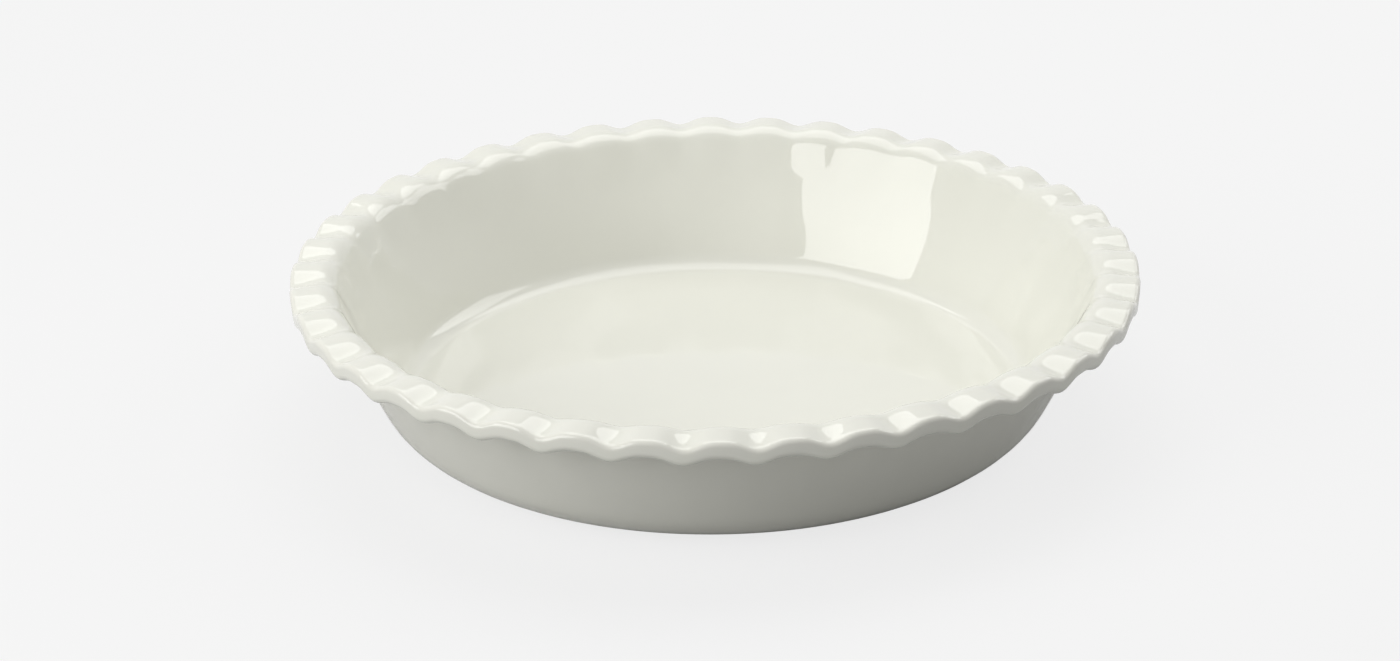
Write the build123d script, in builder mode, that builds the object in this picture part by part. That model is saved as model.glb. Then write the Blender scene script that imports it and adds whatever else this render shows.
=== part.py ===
from build123d import *
from math import ceil, cos, pi, radians, sin, tan
import os

# Fluted pie dish: a round stoneware bowl with sloping walls and a flat rim pressed into flutes,
# glazed all over except for the ring that it stands on.
# Millimetres. The origin is the centre of the foot on the table, +Z is up and a flute crest is on +X.

# Rim
rim_diameter = 265.0
rim_height = 49.5  # table to the top of a flute crest at the rim edge
flange_width = 13.0  # rim edge to where the inner wall would meet the top of the crests
flange_rise = 2.0  # degrees that the flange slopes up towards the bowl
edge_thickness = 6.0  # height of the rim edge at a crest
edge_top_radius = 1.7
edge_bottom_radius = 2.5
underside_land = 0.2  # level strip between the cove under the rim and the edge
lip_radius = 7.0  # roll from the flange into the bowl

# Flutes
flute_count = 40
flute_depth = 2.4  # crest to valley on top of the rim edge
underside_flute_depth = 2.1  # crest to valley under the rim edge
flute_fade_width = 21.0  # rim edge to where the flutes have died out
valley_sharpness = 1.6  # 1 is a plain wave, more is a broader crest and a narrower valley

# Bowl
wall_lean = 26.0  # degrees from upright
wall_thickness = 4.8
floor_thickness = 5.2
heel_radius = 19.5  # outside, wall to base
corner_radius = 8.0  # inside, wall to floor

# Foot ring, left bare of glaze
foot_height = 1.3
foot_width = 5.5
foot_inset = 1.5  # from the edge of the flat base to the foot ring
foot_edge_radius = 0.5

# Glaze
glaze_thickness = 0.3

# Rings that carry the form
ring_spacing = 4.0
ring_turn = 16.0  # degrees of an outline arc from one ring to the next
points_per_flute = 6

rim_radius = rim_diameter / 2
edge_underside = rim_height - edge_thickness
floor_height = foot_height + floor_thickness
lean = radians(wall_lean)
rise = radians(flange_rise)

# The walls are parallel slanting lines. The inner one aims at the inner edge of the flange.
inner_wall_top_radius = rim_radius - flange_width


def wall_radius(height, inset):
    """Radius at a height of the line that lies inset from the outer wall."""
    inner_line = inner_wall_top_radius - (rim_height - height) * tan(lean)
    return inner_line + (wall_thickness - inset) / cos(lean)


# The cove under the rim fills the room between the outer wall and the rim edge
turn_to_upright = radians(90) - lean
cove_reach = rim_radius - edge_bottom_radius - underside_land - wall_radius(edge_underside, 0)
cove_radius = cove_reach / tan(turn_to_upright / 2)

# The heel leaves the base level inside this radius, and the foot ring stands within it
base_radius = wall_radius(foot_height, 0) - heel_radius * tan(turn_to_upright / 2)
foot_outer_radius = base_radius - foot_inset
foot_inner_radius = foot_outer_radius - foot_width


def section(depth):
    """Outline from the base round the rim to the floor, at a flute crest, depth below the glaze."""
    inner = wall_thickness - depth
    lip_climb = tan(rise) / (1 + tan(rise) * tan(lean))
    flange_reach = rim_radius - depth - wall_radius(rim_height - depth, inner)
    lip_height = rim_height - depth + flange_reach * lip_climb
    with BuildLine() as outline:
        FilletPolyline(
            (0, foot_height + depth),
            (wall_radius(foot_height + depth, depth), foot_height + depth),
            (wall_radius(edge_underside + depth, depth), edge_underside + depth),
            (rim_radius - depth, edge_underside + depth),
            (rim_radius - depth, rim_height - depth),
            (wall_radius(lip_height, inner), lip_height),
            (wall_radius(floor_height - depth, inner), floor_height - depth),
            (0, floor_height - depth),
            radius=[
                heel_radius - depth,
                cove_radius + depth,
                edge_bottom_radius - depth,
                edge_top_radius - depth,
                lip_radius - depth,
                corner_radius + depth,
            ],
        )
    # The flat base and floor are left out: the first and last rings close on them
    return outline.wire().order_edges()[1:-1]


def flute_drop(radius, height):
    """How far a valley lies below a crest at this place on the outline."""
    reach_share = (radius - rim_radius + flute_fade_width) / flute_fade_width
    level_share = (height - edge_underside) / edge_thickness
    reach_share = min(max(reach_share, 0), 1)
    level_share = min(max(level_share, 0), 1)
    eased_share = reach_share * reach_share * (3 - 2 * reach_share)
    full_drop = underside_flute_depth + (flute_depth - underside_flute_depth) * level_share
    return full_drop * eased_share


def ring(radius, height):
    """Closed curve round the dish through one point of the outline, lowered in the flute valleys."""
    count = flute_count * points_per_flute
    drop = flute_drop(radius, height)
    points = []
    for index in range(count):
        angle = 2 * pi * index / count
        valley_share = ((1 - cos(flute_count * angle)) / 2) ** valley_sharpness
        points.append((radius * cos(angle), radius * sin(angle), height - drop * valley_share))
    steps = [index / count for index in range(count + 1)]
    return Wire([Edge.make_spline([Vector(*point) for point in points], periodic=True, parameters=steps)])


def form(depth):
    """Solid that lies depth below the glazed surface, lofted through rings along the outline."""
    places = []
    for edge in section(depth):
        if edge.geom_type == GeomType.CIRCLE:
            count = ceil(edge.length / edge.radius / radians(ring_turn))
        else:
            count = ceil(edge.length / ring_spacing)
        places += [edge @ (index / count) for index in range(count)]
    places.append(edge @ 1)
    return Solid.make_loft([ring(place.X, place.Y) for place in places])


clay_form = form(glaze_thickness)
glazed_form = form(0)

# Fired clay: the bowl, its fluted rim and the foot ring
with BuildPart() as stoneware_body:
    add(clay_form)
    with BuildSketch(Plane.XY) as foot_face:
        Circle(foot_outer_radius)
        Circle(foot_inner_radius, mode=Mode.SUBTRACT)
    extrude(amount=foot_height + glaze_thickness + foot_height)
    foot_edges = stoneware_body.faces().sort_by(Axis.Z)[0].edges()
    fillet(foot_edges, radius=foot_edge_radius)
stoneware_body.part.label = "stoneware_body"

# Glaze over the bowl, inside and out, as far as the foot ring
with BuildPart() as glaze_coat:
    add(glazed_form)
    with BuildSketch(Plane.XY.offset(foot_height)) as wiped_base:
        Circle(foot_outer_radius)
    extrude(amount=glaze_thickness, mode=Mode.SUBTRACT)
    add(clay_form, mode=Mode.SUBTRACT)
glaze_coat.part.label = "glaze_coat"

# Glaze on the base inside the foot ring
with BuildPart() as underside_glaze:
    with BuildSketch(Plane.XY.offset(foot_height)) as inner_base:
        Circle(foot_inner_radius)
    extrude(amount=glaze_thickness)
underside_glaze.part.label = "underside_glaze"

os.makedirs("parts", exist_ok=True)
for piece in (stoneware_body, glaze_coat, underside_glaze):
    export_step(piece.part, f"parts/{piece.part.label}.step")
    print(piece.part.label, "volume", round(piece.part.volume), "valid", piece.part.is_valid)
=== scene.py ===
from math import cos, radians, sin, tan

import bmesh
import bpy
from bpy.props import FloatProperty, FloatVectorProperty, IntProperty, PointerProperty
from bpy.types import Operator, Panel, PropertyGroup
from mathutils import Matrix, Vector


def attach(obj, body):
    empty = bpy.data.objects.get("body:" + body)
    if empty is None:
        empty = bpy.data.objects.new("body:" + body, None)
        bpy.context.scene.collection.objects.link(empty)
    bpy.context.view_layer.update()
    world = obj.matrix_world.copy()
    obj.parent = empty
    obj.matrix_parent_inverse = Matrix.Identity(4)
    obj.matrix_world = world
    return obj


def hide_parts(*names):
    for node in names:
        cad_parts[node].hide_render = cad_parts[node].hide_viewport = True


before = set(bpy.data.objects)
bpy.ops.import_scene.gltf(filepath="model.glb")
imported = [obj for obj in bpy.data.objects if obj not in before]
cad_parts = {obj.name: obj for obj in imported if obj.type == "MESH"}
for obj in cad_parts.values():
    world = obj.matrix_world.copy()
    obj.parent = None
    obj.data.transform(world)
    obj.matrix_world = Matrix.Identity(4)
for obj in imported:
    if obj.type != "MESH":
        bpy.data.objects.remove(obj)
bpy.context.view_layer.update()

bl_info = {
    "name": "Fluted pie dish",
    "version": (1, 0, 0),
    "blender": (4, 5, 0),
    "location": "3D View > Sidebar > Pie Dish",
    "description": "A glazed stoneware pie dish with a fluted rim, on a pale studio floor",
    "category": "Add Mesh",
}


# Sizes and colours

def length(name, description, default):
    """Setting in metres."""
    return FloatProperty(name=name, description=description, default=default, subtype="DISTANCE",
                         unit="LENGTH", precision=5)


def angle(name, description, degrees):
    """Setting in degrees, kept in radians."""
    return FloatProperty(name=name, description=description, default=radians(degrees),
                         subtype="ANGLE", unit="ROTATION")


def share(name, description, default):
    """Setting from 0 to about 1."""
    return FloatProperty(name=name, description=description, default=default, subtype="FACTOR",
                         min=0, soft_max=1)


def colour(name, description, default):
    """Colour in linear light."""
    return FloatVectorProperty(name=name, description=description, default=default,
                               subtype="COLOR", size=3, min=0, max=1)


def watts(name, description, default):
    """Power of a light."""
    return FloatProperty(name=name, description=description, default=default, unit="POWER")


def point(name, description, default):
    """Point in the room, in metres from the centre of the foot."""
    return FloatVectorProperty(name=name, description=description, default=default,
                               subtype="TRANSLATION", unit="LENGTH", size=3)


def extent(name, description, default):
    """Width and depth of a flat light, in metres."""
    return FloatVectorProperty(name=name, description=description, default=default,
                               subtype="XYZ_LENGTH", unit="LENGTH", size=2)


class DishSizes(PropertyGroup):
    rim_diameter: length("Rim diameter", "Across the rim", 0.265)
    rim_height: length("Rim height", "Table to a flute crest at the rim edge", 0.0495)
    flange_width: length("Flange width", "Rim edge to the line of the inner wall", 0.013)
    flange_rise: angle("Flange rise", "Slope of the flange up towards the bowl", 2)
    edge_thickness: length("Edge thickness", "Height of the rim edge at a crest", 0.006)
    edge_top_radius: length("Edge top radius", "Rounding of the upper rim edge", 0.0017)
    edge_bottom_radius: length("Edge bottom radius", "Rounding of the lower rim edge", 0.0025)
    underside_land: length("Underside land", "Level strip under the rim edge", 0.0002)
    lip_radius: length("Lip radius", "Roll from the flange into the bowl", 0.007)
    flute_count: IntProperty(name="Flutes", description="Flutes round the rim", default=40, min=3)
    flute_depth: length("Flute depth", "Crest to valley on top of the rim edge", 0.0024)
    underside_flute_depth: length("Flute depth below", "Crest to valley under the rim edge", 0.0021)
    flute_fade_width: length("Flute fade width", "Rim edge to where the flutes end", 0.021)
    valley_sharpness: FloatProperty(name="Valley sharpness", default=1.6, min=0.5,
                                    description="More gives broader crests and narrower valleys")
    wall_lean: angle("Wall lean", "Slope of the wall from upright", 26)
    wall_thickness: length("Wall thickness", "Across the wall", 0.0048)
    floor_thickness: length("Floor thickness", "Base to floor", 0.0052)
    heel_radius: length("Heel radius", "Outside rounding from wall to base", 0.0195)
    corner_radius: length("Corner radius", "Inside rounding from wall to floor", 0.008)
    foot_height: length("Foot height", "Table to base", 0.0013)
    foot_width: length("Foot width", "Width of the bare foot ring", 0.0055)
    foot_inset: length("Foot inset", "Edge of the flat base to the foot ring", 0.0015)
    glaze_thickness: length("Glaze thickness", "Thickness of the fired glaze", 0.0003)
    glaze_edge_radius: length("Glaze edge radius", "Rounding where the glaze was wiped", 0.00022)
    glaze_unevenness: length("Glaze unevenness", "Depth of the slow waves in the glaze", 0.00006)
    wave_size: length("Wave size", "Spacing of the slow waves in the glaze", 0.030)
    wall_ripple: length("Wall ripple", "How far the wall swells under the crests of the rim", 0.0002)
    ripple_fade: length("Ripple fade", "Width over which the wall ripple sets in", 0.0035)
    wall_unevenness: length("Wall unevenness", "Size of the inner wall's dents and swells", 0.0015)
    deepest_dent: length("Deepest dent", "How deep the inner wall's dents are at most", 0.00015)
    points_per_flute: IntProperty(name="Points per flute", default=16, min=4,
                                  description="Mesh points across one flute")


class DishColours(PropertyGroup):
    ivory: colour("Ivory", "Colour of the glaze", (0.81, 0.81, 0.733))
    pooled: colour("Pooled", "Glaze where it lies thick in the valleys", (0.79, 0.795, 0.708))
    # Lighter colour over the rim's rounded upper edge: a painted highlight along the edge
    edge_highlight: colour("Thin", "Glaze where it runs thin over the rim's edge", (0.835, 0.825, 0.748))
    clay: colour("Clay", "Fired clay of the bare foot ring", (0.60, 0.50, 0.37))
    iron: colour("Iron", "Iron specks in the clay", (0.16, 0.09, 0.05))
    pooling: share("Pooling", "How far the pooled colour shows in the valleys", 0.55)
    # Share of the painted highlight over the rim's upper edge
    edge_highlight_share: share("Thinning", "How far the thin colour shows over the rim's edge", 0.6)
    glaze_specks: share("Glaze specks", "How far specks of clay show through the glaze", 0.16)
    clay_specks: share("Clay specks", "How far iron specks show in the clay", 0.75)
    gloss: share("Glaze roughness", "Roughness of the glaze", 0.02)
    clay_roughness: share("Clay roughness", "Roughness of the bare clay", 0.78)
    refraction: FloatProperty(name="Glaze refraction", description="Refractive index of the glaze",
                              default=1.49, min=1)
    glaze_relief: length("Glaze relief", "Height of the fine waves in the glaze", 0.00005)
    clay_relief: length("Clay relief", "Height of the grain of the clay", 0.00025)


class StudioSettings(PropertyGroup):
    backdrop: colour("Backdrop", "Floor and background as the camera sees them", (0.913, 0.913, 0.913))
    bounce: colour("Floor bounce", "Floor as it lights the dish", (0.43, 0.43, 0.43))
    ambient: share("Ambient", "Strength of the light from all round", 0.235)
    shadow: share("Shadow", "Share of the shadow that shows on the floor", 0.14)
    shadow_start: length("Shadow start", "Radius within which the shadow shows in full", 0.22)
    shadow_end: length("Shadow end", "Radius beyond which the floor is even", 0.75)
    floor_radius: length("Floor radius", "Radius of the studio floor", 6.0)
    floor_gap: length("Floor gap", "Room between the floor and the foot ring", 0.00003)
    aim: point("Aim", "Point that all lights face", (0, 0, 0.03))
    key_power: watts("Key power", "Large soft light at the left in front", 8.7)
    key_place: point("Key place", "Centre of the key light", (-0.965, -0.591, 0.56))
    key_extent: extent("Key extent", "Width and depth of the key light", (0.96, 0.76))
    top_power: watts("Top power", "Large soft light overhead, a little behind", 8.6)
    top_place: point("Top place", "Centre of the top light", (0.0, 0.42, 1.18))
    top_extent: extent("Top extent", "Width and depth of the top light", (1.15, 1.15))
    side_power: watts("Side power", "Weaker soft light at the right behind", 3.7)
    side_place: point("Side place", "Centre of the side light", (0.95, 0.45, 0.75))
    side_extent: extent("Side extent", "Width and depth of the side light", (0.8, 0.6))
    front_power: watts("Front power", "Weak broad panel in front, above the camera", 0.8)
    front_place: point("Front place", "Centre of the front panel", (-0.1, -1.4, 1.0))
    front_extent: extent("Front extent", "Width and depth of the front panel", (1.1, 0.9))
    camera_distance: length("Camera distance", "Camera to the centre of the foot", 1.07325)
    camera_height: angle("Camera height", "Angle of the camera above the table", 24.8868)
    camera_turn: angle("Camera turn", "Angle of the camera round the dish", -0.4692)
    swing: angle("Swing", "Camera turned to the left of the centre", 0.2586)
    tip: angle("Tip", "Camera turned up from the centre", 1.2546)
    roll: angle("Roll", "Camera turned about its own axis", 0.6172)
    lens: FloatProperty(name="Lens", default=86.501, description="Focal length in millimetres",
                        subtype="DISTANCE_CAMERA")


# Section of the dish

# Longest mesh steps along an outline, in metres. Hidden lines stay in one piece.
unbroken_step = 0.1
wide_step = 0.012
medium_step = 0.003
close_step = 0.0016
fine_step = 0.0011

# Mesh points of the base glaze, which has no flutes but is swept by the same tree
base_sectors = 48
points_per_base_sector = 6

# Mesh points of each rounded corner
dish_rounding_points = 9
base_rounding_points = 6


class Section:
    """Places that follow from the sizes, in metres, radius first and height second."""

    def __init__(self, sizes):
        self.sizes = sizes
        self.rim_radius = sizes.rim_diameter / 2
        self.edge_underside = sizes.rim_height - sizes.edge_thickness
        self.floor_height = sizes.foot_height + sizes.floor_thickness
        turn_to_upright = radians(90) - sizes.wall_lean
        cove_reach = (self.rim_radius - sizes.edge_bottom_radius - sizes.underside_land
                      - self.wall_radius(self.edge_underside, 0))
        self.cove_radius = cove_reach / tan(turn_to_upright / 2)
        base_radius = (self.wall_radius(sizes.foot_height, 0)
                       - sizes.heel_radius * tan(turn_to_upright / 2))
        self.foot_outer_radius = base_radius - sizes.foot_inset
        self.foot_inner_radius = self.foot_outer_radius - sizes.foot_width
        # Both glazes close inside the clay, out of sight
        self.inside_clay = sizes.foot_height + 2 * sizes.glaze_thickness

    def wall_radius(self, height, inset):
        """Radius at a height of the line that lies inset from the outer wall."""
        sizes = self.sizes
        inner_line = (self.rim_radius - sizes.flange_width
                      - (sizes.rim_height - height) * tan(sizes.wall_lean))
        return inner_line + (sizes.wall_thickness - inset) / cos(sizes.wall_lean)

    def glazed_outline(self):
        """Corners of the glazed dish: radius, height, rounding and longest step after the corner."""
        sizes = self.sizes
        inner = sizes.wall_thickness
        rise = tan(sizes.flange_rise)
        lip_climb = rise / (1 + rise * tan(sizes.wall_lean))
        lip_height = sizes.rim_height + (
            self.rim_radius - self.wall_radius(sizes.rim_height, inner)) * lip_climb
        heel = self.wall_radius(sizes.foot_height, 0)
        cove = self.wall_radius(self.edge_underside, 0)
        lip = self.wall_radius(lip_height, inner)
        corner = self.wall_radius(self.floor_height, inner)
        return [
            (0, self.inside_clay, 0, unbroken_step),
            (self.foot_outer_radius, self.inside_clay, 0, unbroken_step),
            (self.foot_outer_radius, sizes.foot_height, sizes.glaze_edge_radius, medium_step),
            (heel, sizes.foot_height, sizes.heel_radius, medium_step),
            (cove, self.edge_underside, self.cove_radius, fine_step),
            (self.rim_radius, self.edge_underside, sizes.edge_bottom_radius, fine_step),
            (self.rim_radius, sizes.rim_height, sizes.edge_top_radius, fine_step),
            (lip, lip_height, sizes.lip_radius, close_step),
            (corner, self.floor_height, sizes.corner_radius, wide_step),
            (0, self.floor_height, 0, wide_step),
        ]

    def underside_outline(self):
        """Corners of the glaze inside the foot ring, which creeps a little way down the ring."""
        sizes = self.sizes
        inside_ring = self.foot_inner_radius + sizes.glaze_thickness
        creep = sizes.foot_height - 2 * sizes.glaze_thickness
        meniscus = self.foot_inner_radius - sizes.glaze_thickness / 2
        return [
            (0, self.inside_clay, 0, unbroken_step),
            (inside_ring, self.inside_clay, 0, unbroken_step),
            (inside_ring, creep, 0, unbroken_step),
            (self.foot_inner_radius, creep, 0, unbroken_step),
            (meniscus, sizes.foot_height, 1.5 * sizes.glaze_thickness, wide_step),
            (0, sizes.foot_height, 0, medium_step),
        ]


def outline_object(name, outline):
    """Chain of edges through an outline's corners, which carry their rounding and longest step."""
    mesh = bpy.data.meshes.new(name)
    mesh.from_pydata([(radius, 0, height) for radius, height, _, _ in outline],
                     [(index, index + 1) for index in range(len(outline) - 1)], [])
    _, _, roundings, longest_steps = zip(*outline)
    for attribute_name, values in (("rounding", roundings), ("longest_step", longest_steps)):
        attribute = mesh.attributes.new(attribute_name, "FLOAT", "POINT")
        attribute.data.foreach_set("value", values)
    piece = bpy.data.objects.new(name, mesh)
    bpy.context.scene.collection.objects.link(piece)
    return piece


# Node trees

class Wiring:
    """Adds nodes to a tree and joins them, so that a rule reads as a sum."""

    column_width, step_down, steps = 180, 60, 5

    def __init__(self, tree):
        self.tree = tree
        self.column = 0

    def node(self, kind, settings=None, inputs=None):
        """New node with its settings, and its inputs set or joined."""
        made = self.tree.nodes.new(kind)
        made.location = (self.column_width * self.column, -self.step_down * (self.column % self.steps))
        self.column += 1
        for name, value in (settings or {}).items():
            setattr(made, name, value)
        for name, value in (inputs or {}).items():
            self.feed(made.inputs[name], value)
        return made

    def feed(self, socket, value):
        """Join a socket to another node's output, or set its value."""
        if isinstance(value, bpy.types.NodeSocket):
            self.tree.links.new(value, socket)
        else:
            socket.default_value = value

    def sum(self, operation, *values):
        """Result of one step of arithmetic."""
        kind = "ShaderNodeMath"
        return self.node(kind, {"operation": operation}, dict(enumerate(values))).outputs[0]

    def noise(self, size, detail, roughness, vector=None):
        """Smooth noise from 0 to 1 whose bumps are of a size in metres."""
        inputs = {"Scale": self.sum("DIVIDE", 1.0, size), "Detail": detail, "Roughness": roughness}
        if vector is not None:
            inputs["Vector"] = vector
        return self.node("ShaderNodeTexNoise", {"noise_dimensions": "3D"}, inputs).outputs[0]

    def ease(self, value, low, high, to_low=0.0, to_high=1.0):
        """Smooth step of a value between two bounds."""
        settings = {"interpolation_type": "SMOOTHSTEP"}
        return self.node("ShaderNodeMapRange", settings, {
            "Value": value, "From Min": low, "From Max": high, "To Min": to_low, "To Max": to_high,
        }).outputs["Result"]


def tree_socket(tree, name, kind, direction="INPUT", default=None):
    """New input or output of a node group."""
    made = tree.interface.new_socket(name=name, in_out=direction, socket_type=kind)
    if default is not None:
        made.default_value = default


def fluted_sweep_tree():
    """Rounds an outline's corners, sweeps it round the Z axis and lowers the flute valleys."""
    tree = bpy.data.node_groups.new("Fluted sweep", "GeometryNodeTree")
    tree_socket(tree, "Outline", "NodeSocketGeometry")
    for name in ("Rim radius", "Edge underside", "Edge thickness", "Flute depth",
                 "Flute depth below", "Fade width", "Valley sharpness", "Unevenness", "Wave size",
                 "Wall ripple", "Ripple start", "Ripple end", "Wall unevenness", "Deepest dent"):
        tree_socket(tree, name, "NodeSocketFloat")
    for name in ("Flutes", "Points per flute", "Points per rounding"):
        tree_socket(tree, name, "NodeSocketInt")
    tree_socket(tree, "Material", "NodeSocketMaterial")
    tree_socket(tree, "Dish", "NodeSocketGeometry", "OUTPUT")
    weld_distance = 0.000002
    axis_clearance = 0.001  # keeps the direction from the axis defined in the middle
    steep, level = -0.85, -0.15  # how far a face looks away from the axis
    dent_pattern, dent_middle = 3.7, 0.4  # one of the noise's patterns, and its value at no dent
    # Distances from the rim's upper corner over which the painted highlight fades out
    highlight_within, highlight_until = 0.0004, 0.0022  # distances from the rim's upper corner
    wiring = Wiring(tree)
    node, sum_of = wiring.node, wiring.sum
    given = node("NodeGroupInput").outputs

    # The outline becomes a curve with rounded corners and short enough steps
    line = node("GeometryNodeMeshToCurve", None, {"Mesh": given["Outline"]}).outputs["Curve"]
    rounding = node("GeometryNodeInputNamedAttribute", {"data_type": "FLOAT"}, {"Name": "rounding"})
    rounded = node("GeometryNodeFilletCurve", {"mode": "POLY"}, {
        "Curve": line, "Count": given["Points per rounding"], "Radius": rounding.outputs["Attribute"],
    }).outputs["Curve"]
    here = node("GeometryNodeInputPosition").outputs[0]
    index = node("GeometryNodeInputIndex").outputs[0]
    ahead = node("GeometryNodeFieldAtIndex", {"data_type": "FLOAT_VECTOR", "domain": "POINT"}, {
        "Index": sum_of("ADD", index, 1.0), "Value": here}).outputs["Value"]
    gap = node("ShaderNodeVectorMath", {"operation": "DISTANCE"}, {0: here, 1: ahead}).outputs["Value"]
    longest = node("GeometryNodeInputNamedAttribute", {"data_type": "FLOAT"}, {"Name": "longest_step"})
    cuts = sum_of("FLOOR", sum_of("DIVIDE", gap, longest.outputs["Attribute"]))
    stepped = node("GeometryNodeSubdivideCurve", None, {
        "Curve": rounded, "Cuts": cuts}).outputs["Curve"]

    # A sweep along a circle one metre in radius: the section's X runs outward from it, its Y down
    apart = node("ShaderNodeSeparateXYZ", None, {0: here}).outputs
    flat = node("ShaderNodeCombineXYZ", None, {
        "X": sum_of("SUBTRACT", apart["X"], 1.0), "Y": sum_of("MULTIPLY", apart["Z"], -1.0)})
    section = node("GeometryNodeSetPosition", None, {
        "Geometry": stepped, "Position": flat.outputs[0]}).outputs["Geometry"]
    around = sum_of("MULTIPLY", given["Flutes"], given["Points per flute"])
    circle = node("GeometryNodeCurvePrimitiveCircle", {"mode": "RADIUS"}, {
        "Resolution": around, "Radius": 1.0}).outputs["Curve"]
    swept = node("GeometryNodeCurveToMesh", None, {"Curve": circle, "Profile Curve": section})
    outward = node("GeometryNodeFlipFaces", None, {"Mesh": swept.outputs["Mesh"]}).outputs["Mesh"]
    closed = node("GeometryNodeMergeByDistance", None, {
        "Geometry": outward, "Distance": weld_distance}).outputs["Geometry"]

    # Where a point lies: its radius, height and angle before the flutes are pressed
    place = node("ShaderNodeSeparateXYZ", None, {0: here}).outputs
    radius = sum_of("SQRT", sum_of("ADD", sum_of("POWER", place["X"], 2.0),
                                   sum_of("POWER", place["Y"], 2.0)))
    height = place["Z"]
    turn = sum_of("ARCTAN2", place["Y"], place["X"])

    # How far the valleys lie below the crests here
    fade_start = sum_of("SUBTRACT", given["Rim radius"], given["Fade width"])
    reach = wiring.ease(radius, fade_start, given["Rim radius"])
    full_drop = node("ShaderNodeMapRange", None, {
        "Value": height, "From Min": given["Edge underside"],
        "From Max": sum_of("ADD", given["Edge underside"], given["Edge thickness"]),
        "To Min": given["Flute depth below"], "To Max": given["Flute depth"]}).outputs["Result"]
    wave = sum_of("COSINE", sum_of("MULTIPLY", turn, given["Flutes"]))
    valley = sum_of("POWER", sum_of("DIVIDE", sum_of("SUBTRACT", 1.0, wave), 2.0),
                    given["Valley sharpness"])
    drop = sum_of("MULTIPLY", sum_of("MULTIPLY", full_drop, reach), valley)

    # The glaze has run in slow waves, which only ever sink below the full surface
    waves = wiring.noise(given["Wave size"], detail=1.0, roughness=0.4)
    sag = sum_of("MULTIPLY", sum_of("MULTIPLY", waves, given["Unevenness"]), -1.0)
    normal = node("GeometryNodeInputNormal").outputs[0]
    lowered = node("ShaderNodeCombineXYZ", None, {"Z": sum_of("MULTIPLY", drop, -1.0)}).outputs[0]

    # The inner wall is slightly uneven, and swells a little under each crest of the rim
    leaning = node("ShaderNodeSeparateXYZ", None, {0: normal}).outputs
    inward = sum_of("DIVIDE", sum_of("ADD", sum_of("MULTIPLY", leaning["X"], place["X"]),
                                     sum_of("MULTIPLY", leaning["Y"], place["Y"])),
                    sum_of("MAXIMUM", radius, axis_clearance))
    on_wall = wiring.ease(inward, steep, level, 1.0, 0.0)
    below_lip = wiring.ease(radius, given["Ripple start"], given["Ripple end"])
    swell = sum_of("MULTIPLY", sum_of("MULTIPLY", given["Wall ripple"], below_lip),
                   sum_of("SUBTRACT", 1.0, valley))
    dents = node("ShaderNodeTexNoise", {"noise_dimensions": "4D"}, {
        "Scale": sum_of("DIVIDE", 1.0, given["Wave size"]), "W": dent_pattern, "Detail": 0.0})
    dent = sum_of("MULTIPLY", sum_of("SUBTRACT", dents.outputs[0], dent_middle),
                  given["Wall unevenness"])
    lowest = sum_of("MULTIPLY", given["Deepest dent"], -1.0)
    stand_out = sum_of("MULTIPLY", sum_of("MAXIMUM", sum_of("ADD", swell, dent), lowest), on_wall)
    uneven = node("ShaderNodeVectorMath", {"operation": "SCALE"}, {
        0: normal, "Scale": sum_of("ADD", sag, stand_out)}).outputs[0]
    shift = node("ShaderNodeVectorMath", {"operation": "ADD"}, {0: uneven, 1: lowered}).outputs[0]

    # Masks for the glaze: thick in the valleys, and a painted highlight over the rim's upper edge
    in_valley = node("GeometryNodeStoreNamedAttribute", {"data_type": "FLOAT", "domain": "POINT"}, {
        "Geometry": closed, "Name": "valley",
        "Value": sum_of("MULTIPLY", sum_of("POWER", valley, 2.0), reach)}).outputs["Geometry"]
    top = sum_of("ADD", given["Edge underside"], given["Edge thickness"])
    from_top = sum_of("SQRT", sum_of(
        "ADD", sum_of("POWER", sum_of("SUBTRACT", radius, given["Rim radius"]), 2.0),
        sum_of("POWER", sum_of("SUBTRACT", height, top), 2.0)))
    # Mask of the painted highlight along the rim's rounded upper edge
    at_edge = node("GeometryNodeStoreNamedAttribute", {"data_type": "FLOAT", "domain": "POINT"}, {
        "Geometry": in_valley, "Name": "arris",
        "Value": wiring.ease(from_top, highlight_within, highlight_until, 1.0, 0.0)}).outputs["Geometry"]

    pressed = node("GeometryNodeSetPosition", None, {
        "Geometry": at_edge, "Offset": shift}).outputs["Geometry"]
    smooth = node("GeometryNodeSetShadeSmooth", {"domain": "FACE"}, {
        "Geometry": pressed}).outputs["Geometry"]
    whole = node("GeometryNodeRealizeInstances", None, {"Geometry": smooth}).outputs["Geometry"]
    finished = node("GeometryNodeSetMaterial", None, {
        "Geometry": whole, "Material": given["Material"]}).outputs["Geometry"]
    node("NodeGroupOutput", None, {"Dish": finished})
    return tree


def swept_piece(name, outline, inputs):
    """Plain mesh object of an outline swept by the fluted sweep tree."""
    start = outline_object(name + "_outline", outline)
    modifier = start.modifiers.new("Fluted sweep", "NODES")
    tree = bpy.data.node_groups.get("Fluted sweep") or fluted_sweep_tree()
    modifier.node_group = tree
    for item in tree.interface.items_tree:
        if item.name in inputs:
            modifier[item.identifier] = inputs[item.name]
    evaluated = start.evaluated_get(bpy.context.evaluated_depsgraph_get())
    mesh = bpy.data.meshes.new_from_object(evaluated)
    mesh.name = name
    bpy.data.objects.remove(start, do_unlink=True)
    if not mesh.polygons:
        raise RuntimeError(name + " came out empty")
    turn_outward(mesh)
    piece = bpy.data.objects.new(name, mesh)
    bpy.context.scene.collection.objects.link(piece)
    return piece


def turn_outward(mesh):
    """Flip the faces of a closed mesh whose signed volume is negative."""
    shape = bmesh.new()
    shape.from_mesh(mesh)
    if shape.calc_volume(signed=True) < 0:
        bmesh.ops.reverse_faces(shape, faces=shape.faces)
    shape.to_mesh(mesh)
    shape.free()


# Shader groups

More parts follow.
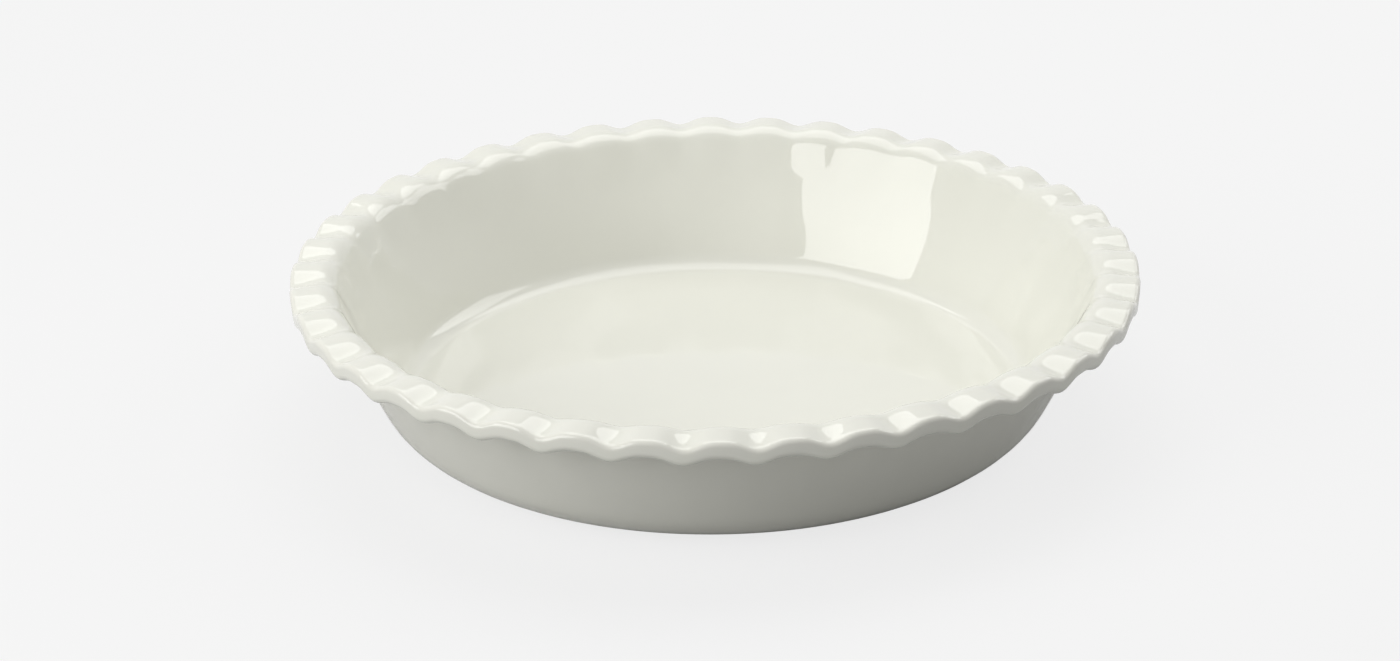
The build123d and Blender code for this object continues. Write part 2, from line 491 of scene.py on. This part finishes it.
def shader_group(name, inputs, output):
    """New shader node group with its wiring, its inputs and its output node."""
    tree = bpy.data.node_groups.new(name, "ShaderNodeTree")
    for socket_name, kind, default in inputs:
        tree_socket(tree, socket_name, kind, "INPUT", default)
    tree_socket(tree, output, "NodeSocketFloat", "OUTPUT")
    wiring = Wiring(tree)
    return tree, wiring, wiring.node("NodeGroupInput").outputs


def drift_group():
    """Slow change of tone over the surface, about zero."""
    if "Kiln drift" in bpy.data.node_groups:
        return bpy.data.node_groups["Kiln drift"]
    tree, wiring, given = shader_group("Kiln drift", [
        ("Vector", "NodeSocketVector", None), ("Patch size", "NodeSocketFloat", 0.05),
        ("Strength", "NodeSocketFloat", 0.05)], "Shift")
    patches = wiring.noise(given["Patch size"], detail=3.0, roughness=0.55, vector=given["Vector"])
    centred = wiring.sum("SUBTRACT", patches, 0.5)
    wiring.node("NodeGroupOutput", None, {
        "Shift": wiring.sum("MULTIPLY", centred, given["Strength"])})
    return tree


def speck_group():
    """Small round specks that are scattered unevenly: 1 in a speck, 0 beside it."""
    if "Iron specks" in bpy.data.node_groups:
        return bpy.data.node_groups["Iron specks"]
    tree, wiring, given = shader_group("Iron specks", [
        ("Vector", "NodeSocketVector", None), ("Spacing", "NodeSocketFloat", 0.006),
        ("Speck share", "NodeSocketFloat", 0.06), ("Bareness", "NodeSocketFloat", 0.5)], "Speck")
    cells = wiring.node("ShaderNodeTexVoronoi", {"voronoi_dimensions": "3D", "feature": "F1"}, {
        "Vector": given["Vector"], "Scale": wiring.sum("DIVIDE", 1.0, given["Spacing"])})
    chance = wiring.node("ShaderNodeSeparateColor", None, {"Color": cells.outputs["Color"]})
    kept = wiring.sum("GREATER_THAN", chance.outputs[0], given["Bareness"])
    size = wiring.sum("MULTIPLY", given["Speck share"], chance.outputs[1])
    half_size = wiring.sum("MULTIPLY", size, 0.5)
    round_mask = wiring.ease(cells.outputs["Distance"], half_size, size, 1.0, 0.0)
    wiring.node("NodeGroupOutput", None, {"Speck": wiring.sum("MULTIPLY", round_mask, kept)})
    return tree


def pitting_group():
    """Height of a fired surface: fine grain or orange peel over slower waves."""
    if "Fired surface" in bpy.data.node_groups:
        return bpy.data.node_groups["Fired surface"]
    tree, wiring, given = shader_group("Fired surface", [
        ("Vector", "NodeSocketVector", None), ("Wave size", "NodeSocketFloat", 0.02),
        ("Grain size", "NodeSocketFloat", 0.002), ("Grain share", "NodeSocketFloat", 0.2)], "Height")
    waves = wiring.noise(given["Wave size"], detail=1.0, roughness=0.4, vector=given["Vector"])
    grain = wiring.noise(given["Grain size"], detail=2.0, roughness=0.5, vector=given["Vector"])
    height = wiring.sum("ADD", waves, wiring.sum("MULTIPLY", grain, given["Grain share"]))
    wiring.node("NodeGroupOutput", None, {"Height": height})
    return tree


# Materials

def new_material(name):
    """Material with a Principled shader, the wiring of its tree and its Object coordinates."""
    material = bpy.data.materials.new(name)
    material.use_nodes = True
    wiring = Wiring(material.node_tree)
    shader = material.node_tree.nodes["Principled BSDF"]
    place = wiring.node("ShaderNodeTexCoord").outputs["Object"]
    return material, wiring, shader, place


def placed_group(wiring, tree, inputs):
    """Output of a shader group that is put into a material with its inputs."""
    made = wiring.node("ShaderNodeGroup", {"node_tree": tree})
    for name, value in inputs.items():
        wiring.feed(made.inputs[name], value)
    return made.outputs[0]


def mixed(wiring, factor, first, second):
    """Colour between two colours."""
    made = wiring.node("ShaderNodeMix", {"data_type": "RGBA"})
    wiring.feed(made.inputs["Factor"], factor)
    # The node has sockets for numbers and vectors too: these are its colours
    colour_inputs, colour_output = made.inputs[6:8], made.outputs[2]
    for socket, value in zip(colour_inputs, (first, second)):
        wiring.feed(socket, value if isinstance(value, bpy.types.NodeSocket) else (*value, 1))
    return colour_output


def brightened(wiring, base, shift):
    """A colour made lighter or darker by a shift about zero."""
    made = wiring.node("ShaderNodeHueSaturation", None, {"Color": base})
    wiring.feed(made.inputs["Value"], wiring.sum("ADD", shift, 1.0))
    return made.outputs[0]


def glaze_material(name, colours):
    """Glossy ivory glaze, thick in the valleys, with a painted highlight over the rim's edge."""
    material, wiring, shader, place = new_material(name)
    valley = wiring.node("ShaderNodeAttribute", {"attribute_name": "valley"}).outputs["Fac"]
    arris = wiring.node("ShaderNodeAttribute", {"attribute_name": "arris"}).outputs["Fac"]
    pool = mixed(wiring, wiring.sum("MULTIPLY", valley, colours.pooling), tuple(colours.ivory),
                 tuple(colours.pooled))
    # Painted highlight: a lighter colour over the rim's rounded upper edge
    with_edge_highlight = mixed(wiring, wiring.sum("MULTIPLY", arris, colours.edge_highlight_share), pool,
                     tuple(colours.edge_highlight))
    drift = placed_group(wiring, drift_group(), {
        "Vector": place, "Patch size": 0.045, "Strength": 0.035})
    toned = brightened(wiring, with_edge_highlight, drift)
    speck = placed_group(wiring, speck_group(), {
        "Vector": place, "Spacing": 0.009, "Speck share": 0.035, "Bareness": 0.72})
    speck_share = wiring.sum("MULTIPLY", speck, colours.glaze_specks)
    wiring.feed(shader.inputs["Base Color"], mixed(wiring, speck_share, toned, tuple(colours.clay)))
    smear = placed_group(wiring, drift_group(), {
        "Vector": place, "Patch size": 0.012, "Strength": 0.02})
    wiring.feed(shader.inputs["Roughness"], wiring.sum("ADD", smear, colours.gloss))
    height = placed_group(wiring, pitting_group(), {
        "Vector": place, "Wave size": 0.016, "Grain size": 0.0012, "Grain share": 0.03})
    bump = wiring.node("ShaderNodeBump", None, {
        "Height": height, "Distance": colours.glaze_relief, "Strength": 1.0})
    wiring.feed(shader.inputs["Normal"], bump.outputs[0])
    shader.inputs["IOR"].default_value = colours.refraction
    return material


def clay_material(colours):
    """Matt fired clay with grain and iron specks."""
    material, wiring, shader, place = new_material("bare_stoneware")
    drift = placed_group(wiring, drift_group(), {
        "Vector": place, "Patch size": 0.02, "Strength": 0.22})
    grain = placed_group(wiring, drift_group(), {
        "Vector": place, "Patch size": 0.0009, "Strength": 0.3})
    tone = brightened(wiring, (*colours.clay, 1), wiring.sum("ADD", drift, grain))
    speck = placed_group(wiring, speck_group(), {
        "Vector": place, "Spacing": 0.0016, "Speck share": 0.22, "Bareness": 0.62})
    speck_share = wiring.sum("MULTIPLY", speck, colours.clay_specks)
    wiring.feed(shader.inputs["Base Color"], mixed(wiring, speck_share, tone, tuple(colours.iron)))
    wiring.feed(shader.inputs["Roughness"], wiring.sum("ADD", grain, colours.clay_roughness))
    height = placed_group(wiring, pitting_group(), {
        "Vector": place, "Wave size": 0.004, "Grain size": 0.0004, "Grain share": 0.6})
    bump = wiring.node("ShaderNodeBump", None, {
        "Height": height, "Distance": colours.clay_relief, "Strength": 0.8})
    wiring.feed(shader.inputs["Normal"], bump.outputs[0])
    return material


# Operators

def sweep_inputs(section, material):
    """Inputs of the fluted sweep that both glazed pieces share."""
    sizes = section.sizes
    return {
        "Rim radius": section.rim_radius, "Edge underside": section.edge_underside,
        "Edge thickness": sizes.edge_thickness, "Fade width": sizes.flute_fade_width,
        "Valley sharpness": sizes.valley_sharpness, "Unevenness": sizes.glaze_unevenness,
        "Wave size": sizes.wave_size, "Material": material}


class PIEDISH_OT_glazed_dish(Operator):
    """Make the glazed dish with its fluted rim"""
    bl_idname = "piedish.glazed_dish"
    bl_label = "Glazed dish"

    def execute(self, context):
        sizes, colours = context.scene.pie_dish_sizes, context.scene.pie_dish_colours
        section = Section(sizes)
        ripple_start = section.rim_radius - sizes.flute_fade_width
        piece = swept_piece("glazed_dish", section.glazed_outline(), {
            **sweep_inputs(section, glaze_material("ivory_glaze", colours)),
            "Flute depth": sizes.flute_depth, "Flute depth below": sizes.underside_flute_depth,
            "Wall ripple": sizes.wall_ripple, "Ripple start": ripple_start,
            "Ripple end": ripple_start + sizes.ripple_fade,
            "Wall unevenness": sizes.wall_unevenness, "Deepest dent": sizes.deepest_dent,
            "Flutes": sizes.flute_count, "Points per flute": sizes.points_per_flute,
            "Points per rounding": dish_rounding_points})
        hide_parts("glaze_coat")
        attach(piece, "root")
        return {"FINISHED"}


class PIEDISH_OT_underside_glaze(Operator):
    """Make the glaze inside the foot ring"""
    bl_idname = "piedish.underside_glaze"
    bl_label = "Underside glaze"

    def execute(self, context):
        sizes, colours = context.scene.pie_dish_sizes, context.scene.pie_dish_colours
        section = Section(sizes)
        piece = swept_piece("base_glaze", section.underside_outline(), {
            **sweep_inputs(section, glaze_material("base_glaze", colours)),
            "Flutes": base_sectors, "Points per flute": points_per_base_sector,
            "Points per rounding": base_rounding_points})
        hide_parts("underside_glaze")
        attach(piece, "root")
        return {"FINISHED"}


class PIEDISH_OT_bare_foot(Operator):
    """Give the clay body, bare at its foot ring, its fired clay finish"""
    bl_idname = "piedish.bare_foot"
    bl_label = "Bare foot ring"

    def execute(self, context):
        clay = clay_material(context.scene.pie_dish_colours)
        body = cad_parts["stoneware_body"]
        if not body.material_slots:
            body.data.materials.append(clay)
        for slot in body.material_slots:
            slot.material = clay
        return {"FINISHED"}


def soft_light(name, power, place, span, aim):
    """Flat light at a place that faces the aim."""
    light = bpy.data.lights.new(name, "AREA")
    light.shape = "RECTANGLE"
    light.energy = power
    light.size, light.size_y = span
    lamp = bpy.data.objects.new(name, light)
    lamp.location = place
    lamp.rotation_euler = (Vector(aim) - Vector(place)).to_track_quat("-Z", "Y").to_euler()
    bpy.context.scene.collection.objects.link(lamp)


def seen_directly(wiring):
    """Masks for where the camera or a reflection sees a surface, and where only a reflection does."""
    path = wiring.node("ShaderNodeLightPath").outputs
    mirrored = wiring.sum("MAXIMUM", path["Is Glossy Ray"], path["Is Transmission Ray"])
    return wiring.sum("MAXIMUM", path["Is Camera Ray"], mirrored), mirrored


def floor_material(studio):
    """Pale floor: for the camera it glows evenly apart from the dish's shadow."""
    material = bpy.data.materials.new("studio_floor")
    material.use_nodes = True
    tree = material.node_tree
    tree.nodes.clear()
    wiring = Wiring(tree)
    place = wiring.node("ShaderNodeTexCoord").outputs["Object"]
    away = wiring.node("ShaderNodeVectorMath", {"operation": "LENGTH"}, {0: place}).outputs["Value"]
    seen, mirrored = seen_directly(wiring)
    near_share = wiring.sum("MULTIPLY", wiring.sum("SUBTRACT", 1.0, mirrored), 1.0 - studio.shadow)
    even = wiring.ease(away, studio.shadow_start, studio.shadow_end, near_share, 1.0)
    glow = wiring.node("ShaderNodeEmission", None, {"Color": (*studio.backdrop, 1), "Strength": 1.0})
    pale = wiring.node("ShaderNodeBsdfDiffuse", None, {"Color": (*studio.backdrop, 1)})
    plain = wiring.node("ShaderNodeBsdfDiffuse", None, {"Color": (*studio.bounce, 1)})
    shown = wiring.node("ShaderNodeMixShader", None, {0: even, 1: pale.outputs[0], 2: glow.outputs[0]})
    both = wiring.node("ShaderNodeMixShader", None, {0: seen, 1: plain.outputs[0], 2: shown.outputs[0]})
    wiring.node("ShaderNodeOutputMaterial", None, {"Surface": both.outputs[0]})
    return material


# Round floor and camera
floor_sides = 96
sensor_width = 36.0  # millimetres
nearest_seen = 0.01


class PIEDISH_OT_studio(Operator):
    """Make the floor, the lights, the backdrop and the camera"""
    bl_idname = "piedish.studio"
    bl_label = "Studio"

    def execute(self, context):
        scene = context.scene
        studio = scene.pie_dish_studio

        shape = bmesh.new()
        bmesh.ops.create_circle(shape, cap_ends=True, segments=floor_sides,
                                radius=studio.floor_radius)
        # A hair under the foot, so that the two faces don't flicker through each other
        bmesh.ops.translate(shape, verts=shape.verts, vec=(0, 0, -studio.floor_gap))
        mesh = bpy.data.meshes.new("studio_floor")
        shape.to_mesh(mesh)
        shape.free()
        mesh.materials.append(floor_material(studio))
        floor = bpy.data.objects.new("studio_floor", mesh)
        scene.collection.objects.link(floor)

        aim = studio.aim
        soft_light("key_softbox", studio.key_power, studio.key_place, studio.key_extent, aim)
        soft_light("top_softbox", studio.top_power, studio.top_place, studio.top_extent, aim)
        soft_light("side_softbox", studio.side_power, studio.side_place, studio.side_extent, aim)
        soft_light("front_panel", studio.front_power, studio.front_place, studio.front_extent, aim)

        world = bpy.data.worlds.new("studio_world")
        world.use_nodes = True
        scene.world = world
        wiring = Wiring(world.node_tree)
        seen, _ = seen_directly(wiring)
        all_round = (studio.ambient,) * 3
        tone = mixed(wiring, seen, all_round, tuple(studio.backdrop))
        wiring.feed(world.node_tree.nodes["Background"].inputs["Color"], tone)

        camera = bpy.data.cameras.new("studio_camera")
        camera.sensor_width = sensor_width
        camera.lens = studio.lens
        camera.clip_start = nearest_seen
        view = bpy.data.objects.new("studio_camera", camera)
        stand = Matrix.Translation((0, -studio.camera_distance * cos(studio.camera_height),
                                    studio.camera_distance * sin(studio.camera_height)))
        view.matrix_world = (
            Matrix.Rotation(studio.camera_turn, 4, "Z") @ stand
            @ Matrix.Rotation(radians(90) - studio.camera_height, 4, "X")
            @ Matrix.Rotation(studio.swing, 4, "Y") @ Matrix.Rotation(studio.tip, 4, "X")
            @ Matrix.Rotation(-studio.roll, 4, "Z"))
        scene.collection.objects.link(view)
        scene.camera = view
        scene.view_settings.view_transform = "Standard"
        return {"FINISHED"}


class PIEDISH_PT_sidebar(Panel):
    """Buttons that make the dish and its studio, and all settings"""
    bl_idname = "PIEDISH_PT_sidebar"
    bl_label = "Pie dish"
    bl_space_type = "VIEW_3D"
    bl_region_type = "UI"
    bl_category = "Pie Dish"

    def draw(self, context):
        for operator in (PIEDISH_OT_glazed_dish, PIEDISH_OT_underside_glaze,
                         PIEDISH_OT_bare_foot, PIEDISH_OT_studio):
            self.layout.operator(operator.bl_idname)
        for settings in (context.scene.pie_dish_sizes, context.scene.pie_dish_colours,
                         context.scene.pie_dish_studio):
            box = self.layout.box()
            for name in settings.bl_rna.properties.keys():
                if name not in ("rna_type", "name"):
                    box.prop(settings, name)


classes = (DishSizes, DishColours, StudioSettings, PIEDISH_OT_glazed_dish,
           PIEDISH_OT_underside_glaze, PIEDISH_OT_bare_foot, PIEDISH_OT_studio, PIEDISH_PT_sidebar)


def register():
    for made in classes:
        bpy.utils.register_class(made)
    bpy.types.Scene.pie_dish_sizes = PointerProperty(type=DishSizes)
    bpy.types.Scene.pie_dish_colours = PointerProperty(type=DishColours)
    bpy.types.Scene.pie_dish_studio = PointerProperty(type=StudioSettings)


def unregister():
    del bpy.types.Scene.pie_dish_studio
    del bpy.types.Scene.pie_dish_colours
    del bpy.types.Scene.pie_dish_sizes
    for made in reversed(classes):
        bpy.utils.unregister_class(made)


def main():
    register()
    bpy.ops.piedish.glazed_dish()
    bpy.ops.piedish.underside_glaze()
    bpy.ops.piedish.bare_foot()
    bpy.ops.piedish.studio()


if __name__ == "__main__":
    main()
